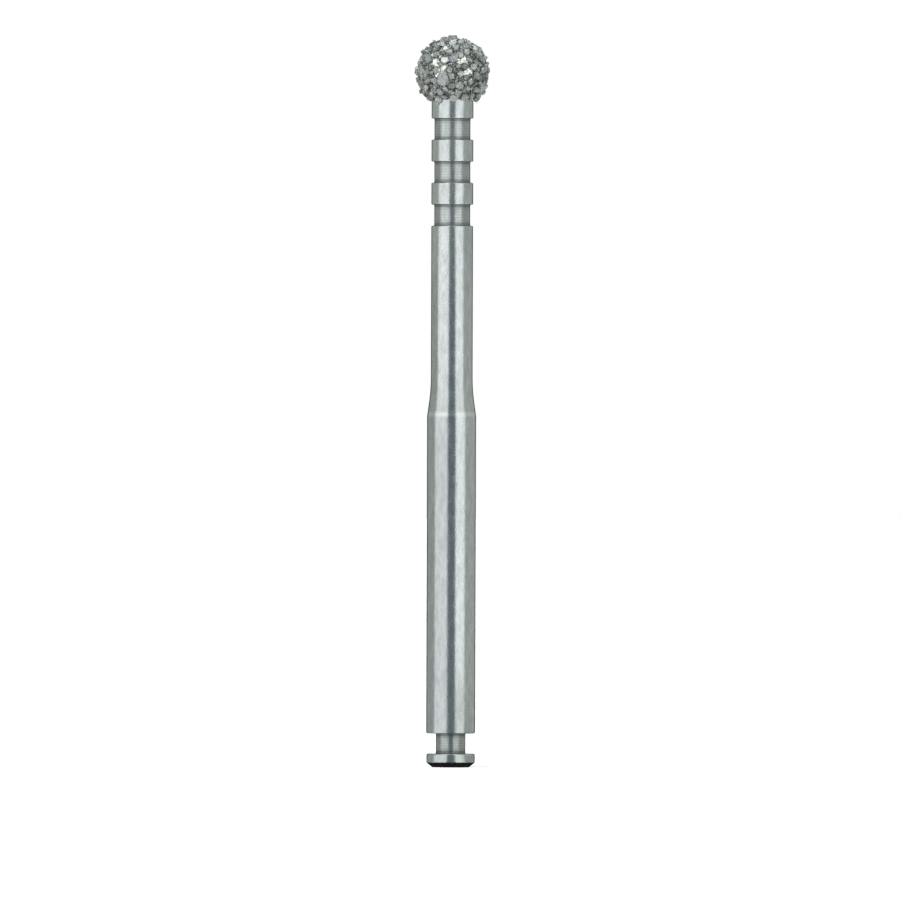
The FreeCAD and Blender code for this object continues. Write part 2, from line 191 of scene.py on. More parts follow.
# Crystals whose own tint stands out, written the same way, the tint, and how far each is tinted
# as a share of its width. The palest ones, low on the ball, are painted light: near white, as
# crystals that catch the light.
TINT_REACH = 1.3
TINTED_AND_LIT_CRYSTALS = [
    (-17, -10, 0.62, (194, 202, 200)),
    (2, 24, 0.46, (188, 196, 201)),
    (-38, -50, 0.36, (250, 253, 251)),
    (-43, -54, 0.56, (255, 255, 253)),
    (3, -46, 0.42, (222, 229, 222)),
    (66, -26, 0.44, (226, 233, 226)),
    (80, -31, 0.46, (236, 242, 236)),
    (-25, -33, 0.38, (206, 211, 212)),
    (20, 11, 0.40, (96, 103, 97)),
    (-48, 23, 0.46, (176, 184, 184)),
    (42, 28, 0.34, (110, 116, 102)),
    (-10, 52, 0.40, (216, 224, 216)),
    (-42, -22, 0.32, (168, 166, 128)),
    (26, -38, 0.34, (158, 154, 138)),
]

# The camera, from the photograph's frame.
FRAME_WIDTH = 43.06
VIEW_HEIGHT = 15.18
VIEW_SIDE = -0.072
LEAN = math.radians(-0.175)
LENS = 700
SENSOR = 36

# The light, at which a matt colour shows about as it is written.
WORLD_LIGHT = 0.5
KEY_LIGHT = 1.8
FILL_LIGHT = 0.5
FLOOR_GLOW = 0.42
FLOOR_HALF = 3.0
# The cards, which only the metal and the crystals show, and the dark mat under the tail end, a
# painted shadow that the metal reflects.
CARD_RADIUS = 12
CARD_SPLIT = 24
CARD_TOP = 60
CARD_STEPS = 16
SHADOW_MAT_RADIUS = 1.7
MAT_LIFT = 0.004
MAT_STEPS = 48
# Heights up to which the lowest cards on the right go.
LOW_GREY_TOP = 1.2
LOW_PALE_TOP = 3.5


def linear(red, green, blue):
    """A colour given as the eight-bit values that it shows as."""
    def channel(value):
        share = value / 255
        return share / 12.92 if share <= 0.04045 else ((share + 0.055) / 1.055) ** 2.4

    return channel(red), channel(green), channel(blue), 1


def direction_of(turn, rise):
    """A direction from the ball's centre, as degrees round from -Y and above the equator."""
    turn, rise = math.radians(turn), math.radians(rise)
    level = math.cos(rise)
    return Vector((level * math.sin(turn), -level * math.cos(turn), math.sin(rise)))


def link(data, name):
    """Adds an object with that mesh, camera or lamp to the scene."""
    item = bpy.data.objects.new(name, data)
    bpy.context.scene.collection.objects.link(item)
    return item


# Materials

class Nodes:
    """A node tree, emptied, and short calls to fill it."""

    def __init__(self, tree):
        self.tree = tree
        self.tree.nodes.clear()

    def node(self, kind, **settings):
        made = self.tree.nodes.new(kind)
        for name, value in settings.items():
            setattr(made, name, value)
        return made

    def join(self, start, end):
        self.tree.links.new(start, end)

    def compute(self, operation, *values):
        """A sum on sockets and numbers, in the order of the node's inputs."""
        made = self.node("ShaderNodeMath", operation=operation)
        for socket, value in zip(made.inputs, values):
            if isinstance(value, (int, float)):
                socket.default_value = value
            else:
                self.join(value, socket)
        return made.outputs["Value"]

    def seen(self):
        """One for rays that show a thing to the camera, in a mirror or through glass, else zero."""
        path = self.node("ShaderNodeLightPath")
        either = path.outputs["Is Camera Ray"]
        for ray in ("Is Glossy Ray", "Is Transmission Ray"):
            either = self.compute("MAXIMUM", either, path.outputs[ray])
        return either


class Material(Nodes):
    """A material, with the patterns that the bur's finishes use."""

    def __init__(self, name):
        self.material = bpy.data.materials.new(name)
        self.material.use_nodes = True
        super().__init__(self.material.node_tree)
        self.output = self.node("ShaderNodeOutputMaterial")

    def shader(self, **values):
        made = self.node("ShaderNodeBsdfPrincipled")
        for name, value in values.items():
            made.inputs[name.replace("_", " ")].default_value = value
        self.join(made.outputs["BSDF"], self.output.inputs["Surface"])
        return made

    def place(self, scale):
        """Object coordinates in millimetres, times a scale along each axis."""
        where = self.node("ShaderNodeTexCoord")
        mapping = self.node("ShaderNodeMapping")
        mapping.inputs["Scale"].default_value = [s / MM for s in scale]
        self.join(where.outputs["Object"], mapping.inputs["Vector"])
        return mapping.outputs["Vector"]

    def noise(self, scale, detail=4, roughness=0.55):
        made = self.node("ShaderNodeTexNoise")
        made.inputs["Scale"].default_value = 1
        made.inputs["Detail"].default_value = detail
        made.inputs["Roughness"].default_value = roughness
        self.join(self.place(scale), made.inputs["Vector"])
        return made.outputs["Fac"]

    def ramp(self, value, stops, interpolation="LINEAR"):
        made = self.node("ShaderNodeValToRGB")
        made.color_ramp.interpolation = interpolation
        elements = made.color_ramp.elements
        while len(elements) < len(stops):
            elements.new(0.5)
        for element, (position, colour) in zip(elements, stops):
            element.position = position
            element.color = colour
        self.join(value, made.inputs["Fac"])
        return made.outputs["Color"]

    def spread(self, value, low, high, start=0.0, end=1.0):
        """Maps a value from start..end to low..high."""
        made = self.node("ShaderNodeMapRange")
        limits = {"From Min": start, "From Max": end, "To Min": low, "To Max": high}
        for name, number in limits.items():
            made.inputs[name].default_value = number
        self.join(value, made.inputs["Value"])
        return made.outputs["Result"]

    def bump(self, height, depth, below=None):
        """A bump of that depth in millimetres, on top of another one if given."""
        made = self.node("ShaderNodeBump")
        made.inputs["Distance"].default_value = depth * MM
        self.join(height, made.inputs["Height"])
        if below:
            self.join(below, made.inputs["Normal"])
        return made.outputs["Normal"]

    def distance_from(self, centre):
        """How far a point is from a centre that is given in millimetres."""
        where = self.node("ShaderNodeTexCoord")
        away = self.node("ShaderNodeVectorMath", operation="DISTANCE")
        away.inputs[1].default_value = centre * MM
        self.join(where.outputs["Object"], away.inputs[0])
        return away.outputs["Value"]

    def foot(self):
        """Painted shade mask: zero where a crystal meets the nickel, one over the height of its
        foot.
        """
        away = self.distance_from(BALL_CENTRE)
        return self.spread(away, 0, 1, BOND_RADIUS * MM, (BOND_RADIUS + FOOT_SHADE_HEIGHT) * MM)

    def ring_at(self, height, reach):
        """One at that height on the axis, falling to zero on both sides of it."""
        parts = self.node("ShaderNodeSeparateXYZ")
        self.join(self.node("ShaderNodeTexCoord").outputs["Object"], parts.inputs["Vector"])
        above = self.compute("SUBTRACT", parts.outputs["Z"], height * MM)
        return self.spread(self.compute("ABSOLUTE", above), 1, 0, 0, reach * MM)

    def spot(self, centre, width):
        """One inside a ball of that width in millimetres, else zero."""
        return self.compute("LESS_THAN", self.distance_from(centre), width / 2 * MM)

    def crystal(self):
        """A number from zero to one that each crystal has for itself."""
        return self.node("ShaderNodeNewGeometry").outputs["Random Per Island"]

    def facet(self):
        """A number from zero to one that each flat face has for itself."""
        normal = self.node("ShaderNodeNewGeometry").outputs["True Normal"]
        snap = self.node("ShaderNodeVectorMath", operation="SNAP")
        snap.inputs[1].default_value = (FACET_SNAP, FACET_SNAP, FACET_SNAP)
        self.join(normal, snap.inputs[0])
        made = self.node("ShaderNodeTexWhiteNoise", noise_dimensions="3D")
        self.join(snap.outputs["Vector"], made.inputs["Vector"])
        return made.outputs["Value"]

    def attribute(self, name):
        return self.node("ShaderNodeAttribute", attribute_name=name).outputs["Fac"]

    def blend(self, share, first, second):
        """Mixes two colours, each a socket or a fixed colour, by a share."""
        made = self.node("ShaderNodeMix", data_type="RGBA")
        self.join(share, made.inputs["Factor"])
        for name, colour in (("A", first), ("B", second)):
            socket = next(i for i in made.inputs if i.name == name and i.type == "RGBA")
            if isinstance(colour, tuple):
                socket.default_value = colour
            else:
                self.join(colour, socket)
        return next(o for o in made.outputs if o.type == "RGBA")


def grey(value):
    return value, value, value, 1


def steel_material():
    """Turned and polished stainless steel, slightly satin, with fine rings round it."""
    steel = Material("turned_steel")
    shader = steel.shader(Metallic=1.0, Anisotropic=0.6, Anisotropic_Rotation=0.25)
    tangent = steel.node("ShaderNodeTangent", direction_type="RADIAL", axis="Z")
    steel.join(tangent.outputs["Tangent"], shader.inputs["Tangent"])
    mottle = steel.noise((5, 5, 1.6), detail=6, roughness=0.65)
    polished = steel.ramp(mottle, [(0.3, linear(190, 197, 196)), (0.7, linear(221, 228, 227))])
    # Painted shade: the grooves' darker colour, strongest beside their walls.
    shaded_groove = steel.ramp(mottle, [(0.3, linear(127, 133, 129)), (0.7, linear(148, 154, 149))])
    shade_and_dullness = steel.attribute("shade_and_dullness")
    # Painted highlight: a pale line along the shank's rounded top edge.
    highlight_line = steel.ring_at(SHANK_TOP + HIGHLIGHT_LINE_REACH / 2, HIGHLIGHT_LINE_REACH)
    with_painted_highlight = steel.blend(highlight_line, polished, linear(236, 242, 240))
    steel.join(steel.blend(shade_and_dullness, with_painted_highlight, shaded_groove), shader.inputs["Base Color"])
    streaks = steel.noise((9, 9, 2.4), detail=5, roughness=0.6)
    satin = steel.spread(streaks, 0.18, 0.3, 0.3, 0.7)
    roughness = steel.compute("MULTIPLY_ADD", shade_and_dullness, HOLLOW_ROUGHNESS, satin)
    steel.join(roughness, shader.inputs["Roughness"])
    rings = steel.noise((0.4, 0.4, 42), detail=3)
    rough = steel.noise((14, 14, 7), detail=4, roughness=0.7)
    grain = steel.bump(rough, GRAIN_DEPTH)
    steel.join(steel.bump(rings, RING_DEPTH, grain), shader.inputs["Normal"])
    return steel.material


def nickel_material():
    """Galvanic nickel: bright where it is bare, grey-green elsewhere, with painted shade in the
    crevices between the crystals, and painted light that makes it paler towards the top.

    Under a crystal it is painted pale, as light that shows through the glassy crystal.
    """
    nickel = Material("galvanic_nickel")
    shader = nickel.shader(Metallic=1.0)
    stain = nickel.noise((6, 6, 6), detail=4)
    bright = nickel.ramp(stain, [(0.35, linear(246, 246, 236)), (0.6, linear(255, 255, 250))])
    # Painted light: the nickel is paler towards the top and darker below, as light falls from
    # above.
    painted_lit_upper = nickel.ramp(stain, [(0.38, linear(196, 204, 196)), (0.62, linear(234, 240, 234))])
    painted_shaded_lower = nickel.ramp(stain, [(0.38, linear(104, 106, 92)), (0.62, linear(160, 162, 146))])
    dull_with_painted_light = nickel.blend(nickel.attribute("painted_top_light"), painted_shaded_lower, painted_lit_upper)
    # Painted shade in the crevice round each crystal's foot.
    with_crevice_shade = nickel.blend(nickel.attribute("rim"), dull_with_painted_light, linear(76, 82, 76))
    bare = nickel.attribute("bareness")
    open_part = nickel.blend(bare, with_crevice_shade, bright)
    # Painted light: nickel under a crystal is made pale, so the crystal shows a light centre.
    surface = nickel.blend(nickel.attribute("painted_light_under_crystal"), open_part, linear(222, 229, 223))
    nickel.join(surface, shader.inputs["Base Color"])
    nickel.join(nickel.spread(bare, 0.45, 0.24), shader.inputs["Roughness"])
    nodules = nickel.noise((22, 22, 22), detail=3)
    nickel.join(nickel.bump(nodules, NODULE_DEPTH), shader.inputs["Normal"])
    return nickel.material


def tint_of_each(diamond):
    """The grey-green tint that each crystal has for itself."""
    tints = [
        (0.0, linear(160, 170, 161)),
        (0.18, linear(196, 206, 197)),
        (0.34, linear(232, 240, 233)),
        (0.46, linear(188, 196, 202)),
        (0.56, linear(170, 177, 158)),
        (0.7, linear(240, 246, 240)),
        (0.82, linear(118, 128, 120)),
    ]
    return diamond.ramp(diamond.crystal(), tints, "CONSTANT")


def diamond_material():
    """Grey-green diamond: each crystal has its own tint, painted shade at its foot, painted glints
    and shade on random facets, and dull, pitted faces; the palest crystals are painted light.
    """
    diamond = Material("diamond_grit")
    shader = diamond.shader(IOR=2.4, Transmission_Weight=0.42)
    clouds = diamond.spread(diamond.noise((7, 7, 7), detail=5, roughness=0.7), 0, 0.4, 0.4, 0.65)
    colour = diamond.blend(clouds, tint_of_each(diamond), linear(150, 159, 151))
    facet = diamond.facet()
    # Painted shade on random facets, and painted glints: some facets are turned white.
    colour = diamond.blend(diamond.spread(facet, 0, 0.6, 0.6, 1), colour, linear(112, 121, 114))
    colour = diamond.blend(diamond.spread(facet, 1, 0, 0.05, 0.35), colour, grey(1))
    # Real tints, and near-white painted light on the palest crystals low on the ball.
    for turn, rise, width, shade in TINTED_AND_LIT_CRYSTALS:
        centre = BALL_CENTRE + direction_of(turn, rise) * (BOND_RADIUS + width / 4)
        colour = diamond.blend(diamond.spot(centre, width * TINT_REACH), colour, linear(*shade))
    # More painted shade on random facets.
    colour = diamond.blend(diamond.spread(facet, 0, 0.35, 0.3, 0.9), colour, linear(140, 148, 142))
    # Painted shade: each crystal darkens where it meets the nickel.
    colour = diamond.blend(diamond.foot(), linear(70, 75, 70), colour)
    diamond.join(colour, shader.inputs["Base Color"])
    pits = diamond.noise((16, 16, 16), detail=5, roughness=0.6)
    diamond.join(diamond.spread(pits, 0.06, 0.26, 0.35, 0.65), shader.inputs["Roughness"])
    diamond.join(diamond.bump(pits, PIT_DEPTH), shader.inputs["Normal"])
    return diamond.material


def edge_material():
    """The crystals' edges: dark outlines of painted shade on most of them and painted highlights on
    the rest, and in patches the crystal's own tint.
    """
    diamond = Material("diamond_edges")
    shader = diamond.shader(IOR=1.3, Transmission_Weight=0.2, Roughness=0.2)
    shades = [(0.0, linear(64, 70, 65)), (0.4, linear(230, 238, 232)), (0.5, linear(82, 89, 84))]
    edge = diamond.ramp(diamond.crystal(), shades, "CONSTANT")
    tint_share = diamond.spread(diamond.noise((9, 9, 9), detail=3), 0, 1, 0.4, 0.6)
    edge_light_and_tint = diamond.blend(tint_share, edge, tint_of_each(diamond))
    diamond.join(edge_light_and_tint, shader.inputs["Base Color"])
    return diamond.material


def floor_material():
    """A matt white floor that keeps the shadow and shows as white as the backdrop."""
    floor = Material("pale_floor")
    matt = floor.node("ShaderNodeBsdfDiffuse")
    matt.inputs["Color"].default_value = grey(0.8)
    glow = floor.node("ShaderNodeEmission")
    floor.join(floor.spread(floor.seen(), 0, FLOOR_GLOW), glow.inputs["Strength"])
    both = floor.node("ShaderNodeAddShader")
    floor.join(matt.outputs["BSDF"], both.inputs[0])
    floor.join(glow.outputs["Emission"], both.inputs[1])
    floor.join(both.outputs["Shader"], floor.output.inputs["Surface"])
    return floor.material


def card_material(name, colour, strength):
    card = Material(name)
    glow = card.node("ShaderNodeEmission")
    glow.inputs["Color"].default_value = colour
    glow.inputs["Strength"].default_value = strength
    card.join(glow.outputs["Emission"], card.output.inputs["Surface"])
    return card.material


# The steel blank

def arc(centre, radius, start, end, steps):
    """Points of an arc in the half section, each as radius and height; angles in radians."""
    angles = [start + (end - start) * step / steps for step in range(steps + 1)]
    return [(centre[0] + radius * math.cos(a), centre[1] + radius * math.sin(a)) for a in angles]


def rounded(corners):
    """The points of a line through corners, each given as radius, height and its own rounding."""
    points = [corners[0][:2]]
    for before, corner, after in zip(corners, corners[1:], corners[2:]):
        here = Vector(corner[:2])
        back = (Vector(before[:2]) - here).normalized()
        onward = (Vector(after[:2]) - here).normalized()
        rounding = corner[2]
        turn = back.angle(onward)
        if rounding == 0 or turn > math.radians(179.9):
            points.append(tuple(here))
            continue
        reach = rounding / math.tan(turn / 2)
        middle = here + (back + onward).normalized() * (rounding / math.sin(turn / 2))
        first, last = here + back * reach - middle, here + onward * reach - middle
        sweep = first.angle_signed(last)
        steps = max(2, round(abs(sweep) / ROUNDING_STEP))
        beside = reach + SUPPORT
        if (Vector(before[:2]) - here).length > beside * 2:
            points.append(tuple(here + back * beside))
        for step in range(steps + 1):
            angle = -sweep * step / steps
            turned = Matrix.Rotation(angle, 2) @ first
            points.append(tuple(middle + turned))
        if (Vector(after[:2]) - here).length > beside * 2:
            points.append(tuple(here + onward * beside))
    points.append(corners[-1][:2])
    return points


def groove_floor(radius, low, high, ripple):
    """The floor of a groove with the tool's ripple, between two heights."""
    steps = round((high - low) / RIPPLE_PITCH * RIPPLE_STEPS)
    points = []
    for step in range(1, steps):
        height = low + (high - low) * step / steps
        wave = math.cos(math.tau * (height - low) / RIPPLE_PITCH)
        points.append((radius + ripple * (wave - 1) / 2, height, 0))
    return points


def blank_profile():
    """The half section of the blank from the tail end's centre to the top of its ball."""
    corners = [
        (0, 0, 0),
        (DISC_RADIUS - CHAMFER_WIDTH, 0, TAIL_EDGE),
        (DISC_RADIUS, CHAMFER_HEIGHT, TAIL_EDGE),
        (DISC_RADIUS, DISC_LENGTH, LATCH_EDGE),
        (LATCH_RADIUS, DISC_LENGTH, LATCH_CORNER),
    ]
    low, high = DISC_LENGTH + LATCH_CORNER, LATCH_TOP - LATCH_CORNER
    corners += groove_floor(LATCH_RADIUS, low, high, LATCH_RIPPLE)
    corners += [
        (LATCH_RADIUS, LATCH_TOP, LATCH_CORNER),
        (SHANK_RADIUS, LATCH_TOP, LATCH_EDGE),
        (SHANK_RADIUS, SHANK_TOP, SHANK_EDGE),
    ]
    taper_foot = SHANK_TOP + (SHANK_RADIUS - NECK_RADIUS) / math.tan(TAPER_ANGLE)
    blend_height = taper_foot + TAPER_BLEND * math.tan(TAPER_ANGLE / 2)
    centre = (NECK_RADIUS + TAPER_BLEND, blend_height)
    blend = arc(centre, TAPER_BLEND, math.pi + TAPER_ANGLE, math.pi, BLEND_STEPS)
    corners += [(radius, height, 0) for radius, height in blend]
    for mark in range(MARK_COUNT):
        low = MARK_START + MARK_PITCH * mark
        high = low + MARK_LENGTH
        corners.append((NECK_RADIUS, low, MARK_EDGE))
        corners.append((MARK_RADIUS, low, MARK_CORNER))
        corners += groove_floor(MARK_RADIUS, low + MARK_CORNER, high - MARK_CORNER, MARK_RIPPLE)
        corners.append((MARK_RADIUS, high, MARK_CORNER))
        corners.append((NECK_RADIUS, high, MARK_EDGE))
    foot = math.sqrt(BALL_RADIUS**2 - NECK_RADIUS**2)
    corners.append((NECK_RADIUS, BALL_HEIGHT - foot, 0))
    start = math.atan2(-foot, NECK_RADIUS)
    globe = arc((0, BALL_HEIGHT), BALL_RADIUS, start, math.pi / 2, GLOBE_STEPS)
    corners += [(radius, height, 0) for radius, height in globe[1:-1]]
    corners.append((0, BALL_HEIGHT + BALL_RADIUS, 0))
    return rounded(corners)


def turned_mesh(name, profile, turns):
    """A closed mesh of the profile turned round the axis. Its first and last points are on it."""
    mesh = bpy.data.meshes.new(name)
    rings = profile[1:-1]
    points = [(0, 0, profile[0][1] * MM), (0, 0, profile[-1][1] * MM)]
    for radius, height in rings:
        for turn in range(turns):
            angle = math.tau * turn / turns
            across, along = radius * math.cos(angle), radius * math.sin(angle)
            points.append((across * MM, along * MM, height * MM))
    faces = []
    last = 2 + (len(rings) - 1) * turns
    for turn in range(turns):
        after = (turn + 1) % turns
        faces.append((0, 2 + after, 2 + turn))
        faces.append((1, last + turn, last + after))
        for ring in range(len(rings) - 1):
            foot = 2 + ring * turns
            faces.append((foot + turn, foot + after, foot + turns + after, foot + turns + turn))
    mesh.from_pydata(points, [], faces)
    mesh.update()
    return mesh


def cutter_for_flat():
    """The block that the drive flat's cutter clears, with its rounded inner corner."""
    width = SHANK_RADIUS * 2
    outline = rounded([
        (width, -1, 0),
        (FLAT_OFFSET, -1, 0),
        (FLAT_OFFSET, FLAT_LENGTH, FLAT_CORNER),
        (width, FLAT_LENGTH, 0),
    ])
    mesh = bpy.data.meshes.new("flat_cutter")
    shape = bmesh.new()
    sides = [
        [shape.verts.new((x * MM, y * MM, z * MM)) for y, z in outline] for x in (-width, width)
    ]
    shape.faces.new(sides[0])
    shape.faces.new(reversed(sides[1]))
    for here in range(len(outline)):
        after = (here + 1) % len(outline)
        shape.faces.new([sides[0][after], sides[0][here], sides[1][here], sides[1][after]])
    bmesh.ops.recalc_face_normals(shape, faces=shape.faces)
    shape.to_mesh(mesh)
    shape.free()
    return mesh


def cut_away(item, tool_mesh):
    """Takes a closed mesh away from a piece for good."""
    tool = link(tool_mesh, "tool")
    cut = item.modifiers.new("cut", "BOOLEAN")
    cut.object = tool
    cut.solver = "EXACT"
    graph = bpy.context.evaluated_depsgraph_get()
    left = bpy.data.meshes.new_from_object(item.evaluated_get(graph))
    item.modifiers.clear()
    item.data = left
    bpy.data.objects.remove(tool)


def groove_shade_and_dullness(radius, height):
    """Painted shade and extra roughness: one beside a groove's wall, zero outside grooves."""
    grooves = [(DISC_LENGTH, LATCH_TOP, LATCH_RADIUS, LATCH_RIPPLE)]
    for mark in range(MARK_COUNT):
        low = MARK_START + MARK_PITCH * mark
        grooves.append((low, low + MARK_LENGTH, MARK_RADIUS, MARK_RIPPLE))
    for low, high, floor, ripple in grooves:
        if low <= height <= high and radius < floor + MARK_CORNER:
            wall = min(height - low, high - height) / HOLLOW_REACH
            valley = max(0, (floor - radius) / ripple) * RIPPLE_SHADE_AND_DULLNESS
            return min(1, HOLLOW_LEAST + valley + (1 - HOLLOW_LEAST) * math.exp(-(wall**2)))
    return 0


def mark_shade_and_dullness(mesh):
    """Writes on each point of the blank its painted shade and extra roughness."""
    shade_and_dullness = []
    for vertex in mesh.vertices:
        x, y, height = vertex.co / MM
        shade_and_dullness.append(groove_shade_and_dullness(math.hypot(x, y), height))
    mesh.attributes.new("shade_and_dullness", "FLOAT", "POINT").data.foreach_set("value", shade_and_dullness)


def make_steel():
    steel = link(turned_mesh("steel_surface", blank_profile(), TURNS), "turned_shank")
    cut_away(steel, cutter_for_flat())
    mark_shade_and_dullness(steel.data)
    steel.data.shade_smooth()
    steel.data.set_sharp_from_angle(angle=CREASE_ANGLE)
    steel.data.materials.clear()
    steel.data.materials.append(steel_material())
    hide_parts("steel_blank")
    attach(steel, "root")


# The nickel and the grit

def grit_tree(item):
    """A search tree of the crystals in a piece."""
    shape = bmesh.new()
    shape.from_mesh(item.data)
    tree = BVHTree.FromBMesh(shape)
    shape.free()
    return tree


def bareness(direction):
    """One in the middle of a bare patch, zero outside them, with a ragged edge."""
    ragged = noise.fractal(direction * BOND_RADIUS / PATCH_RAG_SIZE, 0.7, 2.0, 2) * PATCH_RAG_DEPTH
    most = 0
    for turn, rise, width in BARE_PATCHES:
        away = (direction - direction_of(turn, rise)).length * BOND_RADIUS / (width * PATCH_REACH)
        most = max(most, min(1, max(0, (PATCH_EDGE + ragged - away) * PATCH_STEEPNESS)))
    return most


def make_nickel(tree):
    """The plating: a lumpy skin on the ball that climbs a little up each crystal's foot.

    Each point knows how bare it is, how near a crystal's foot, how covered and how high up.
    """
    shape = bmesh.new()
    bmesh.ops.create_icosphere(shape, subdivisions=7, radius=BOND_RADIUS * MM)
    middle = BALL_CENTRE * MM
    marks = {"bareness": [], "rim": [], "painted_light_under_crystal": [], "painted_top_light": []}
    for vertex in shape.verts:
        direction = vertex.co.normalized()
        bare = bareness(direction)
        lumps = noise.fractal(direction * BOND_RADIUS / LUMP_SIZE, 0.7, 2.0, 3)
        lump = lumps * LUMP_HEIGHT * (1 - BARE_SMOOTHNESS * bare)
        _, _, _, distance = tree.find_nearest(middle + vertex.co)
        climb = MENISCUS_HEIGHT * math.exp(-((distance / MM / MENISCUS_REACH) ** 2))
        start = middle + direction * (BOND_RADIUS * COVER_START) * MM
        across = direction.orthogonal().normalized() * COVER_MARGIN * MM
        aside = [across, -across, direction.cross(across), across.cross(direction)]
        covered = all(tree.ray_cast(start + step, direction)[0] is not None for step in aside)
        marks["bareness"].append(bare)
        marks["rim"].append(math.exp(-((distance / MM / CREVICE_SHADE_REACH) ** 2)))
        marks["painted_light_under_crystal"].append(float(covered))
        marks["painted_top_light"].append(min(1, max(0, direction.z - TOP_LIGHT_START)))
        vertex.co = middle + direction * (BOND_RADIUS + lump + climb) * MM
    mesh = bpy.data.meshes.new("nickel_surface")
    shape.to_mesh(mesh)
    shape.free()
    for name, values in marks.items():
        mesh.attributes.new(name, "FLOAT", "POINT").data.foreach_set("value", values)
    nickel = link(mesh, "nickel_plating")
    mesh.shade_smooth()
    mesh.materials.append(nickel_material())
    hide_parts("nickel_bond")
    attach(nickel, "root")


def chip(rng, size):
    """The corners of a small irregular crystal round the origin."""
    stretch = Vector([rng.uniform(*FINE_STRETCH) for _ in range(3)])
    corners = []
    for _ in range(rng.randint(*FINE_CORNERS)):
        direction = Vector([rng.gauss(0, 1) for _ in range(3)]).normalized()
        corners.append(direction * stretch * size / 2)
    return corners


def lay_out_fines(tree):
    """The small crystals that fill the space between the large ones, in millimetres.

    Each is a direction, how far out its middle is, or its highest corner if it stands out, its
    width, and whether it stands out.
    """
    rng = random.Random(FINE_SEED)
    taken = [(direction_of(turn, rise), width) for turn, rise, width in BARE_PATCHES]
    fines = []
    for turn, rise, size in STANDING_CRYSTALS:
        direction = direction_of(turn, rise)
        taken.append((direction, size))
        top = min(STANDING_TOP, STANDING_REACH / math.cos(math.radians(rise)))
        fines.append((direction, top, size, True))
    for grade, tries in FINE_GRADES:
        for _ in range(tries):
            turn = rng.uniform(0, 360)
            rise = math.degrees(math.asin(rng.uniform(FINE_LOWEST, 1)))
            direction = direction_of(turn, rise)
            size = grade * rng.uniform(*FINE_SPREAD)
            proud = size * rng.uniform(*FINE_PROUDNESS)
            reach = min(BOND_RADIUS + proud, FINE_TOP - size * FINE_REACH)
            _, _, _, distance = tree.find_nearest((BALL_CENTRE + direction * reach) * MM)
            if distance < size * FINE_ROOM * MM:
                continue
            if any(
                (direction - other).length * BOND_RADIUS < (size + width) * FINE_SPACING
                for other, width in taken
            ):
                continue
            taken.append((direction, size))
            fines.append((direction, reach, size, False))
    return fines, rng


def make_fines(tree, material, edge):
    """The small crystals between the large ones, their feet sunk in the nickel."""
    fines, rng = lay_out_fines(tree)
    shape = bmesh.new()
    for direction, reach, size, stands in fines:
        offsets = chip(rng, size)
        if stands:
            reach -= max(offset.dot(direction) for offset in offsets)
        centre = BALL_CENTRE + direction * reach
        corners = [shape.verts.new((centre + offset) * MM) for offset in offsets]
        hull = bmesh.ops.convex_hull(shape, input=corners)
        inside = [item for item in hull["geom_interior"] if isinstance(item, bmesh.types.BMVert)]
        bmesh.ops.delete(shape, geom=inside, context="VERTS")
    mesh = bpy.data.meshes.new("fines_surface")
    shape.to_mesh(mesh)
    shape.free()
    item = link(mesh, "fine_grit")
    dress_grit(item, material, edge, 0)
    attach(item, "root")


def dress_grit(grit, material, edge, finer_steps):
    """Crystals get broken edges, uneven faces and the diamond's finish."""
    grit.data.materials.clear()
    grit.data.materials.append(material)
    grit.data.materials.append(edge)
    edges = grit.modifiers.new("broken_edges", "BEVEL")
    edges.width = EDGE_WIDTH * MM
    edges.segments = 1
    # The bevelled edges take the material with the painted edge shade and highlights.
    edges.material = 1
    edges.limit_method = "ANGLE"
    edges.angle_limit = EDGE_ANGLE
    finer = grit.modifiers.new("finer_faces", "SUBSURF")
    finer.subdivision_type = "SIMPLE"
    finer.levels = finer.render_levels = finer_steps
    rough = bpy.data.textures.new("broken_faces", "CLOUDS")
    rough.noise_scale = CHIP_SIZE * MM
    chips = grit.modifiers.new("broken_faces", "DISPLACE")
    chips.texture = rough
    chips.strength = CHIP_DEPTH * MM
    chips.mid_level = 1


# Camera, floor, backdrop and light

def make_camera():
    data = bpy.data.cameras.new("camera")
    data.lens = LENS
    data.sensor_width = SENSOR
    data.clip_end = 10
    camera = link(data, "camera")
    distance = FRAME_WIDTH * LENS / SENSOR * MM
    camera.location = (VIEW_SIDE * MM, -distance, VIEW_HEIGHT * MM)
    camera.rotation_euler = (math.pi / 2, LEAN, 0)
    bpy.context.scene.camera = camera


def make_floor():
    mesh = bpy.data.meshes.new("floor")
    signs = [(-1, -1), (1, -1), (1, 1), (-1, 1)]
    corners = [(x * FLOOR_HALF, y * FLOOR_HALF, 0) for x, y in signs]
    mesh.from_pydata(corners, [], [(0, 1, 2, 3)])
    mesh.materials.append(floor_material())
    floor = link(mesh, "floor")


def make_card(name, start, end, colour, low=0, high=CARD_TOP, strength=1):
    """A curved card round the bur that shows only in mirrors and glass.

    It runs between two angles in degrees, counted from the camera's side to the right. One that
    starts at the floor runs on over it to the tail end.
    """
    outline = [(CARD_RADIUS, low), (CARD_RADIUS, high)]
    if low == 0:
        outline.insert(0, (SHADOW_MAT_RADIUS, 0))
    rows = len(outline)
    points, faces = [], []
    for step in range(CARD_STEPS + 1):
        across = direction_of(start + (end - start) * step / CARD_STEPS, 0)
        for reach, height in outline:
            points.append((across * reach + Vector((0, 0, height + MAT_LIFT))) * MM)
    for step in range(CARD_STEPS):
        for row in range(rows - 1):
            foot = row + step * rows
            faces.append((foot, foot + rows, foot + rows + 1, foot + 1))
    mesh = bpy.data.meshes.new(name)
    mesh.from_pydata(points, [], faces)
    show_in_mirrors(link(mesh, name), colour, strength)


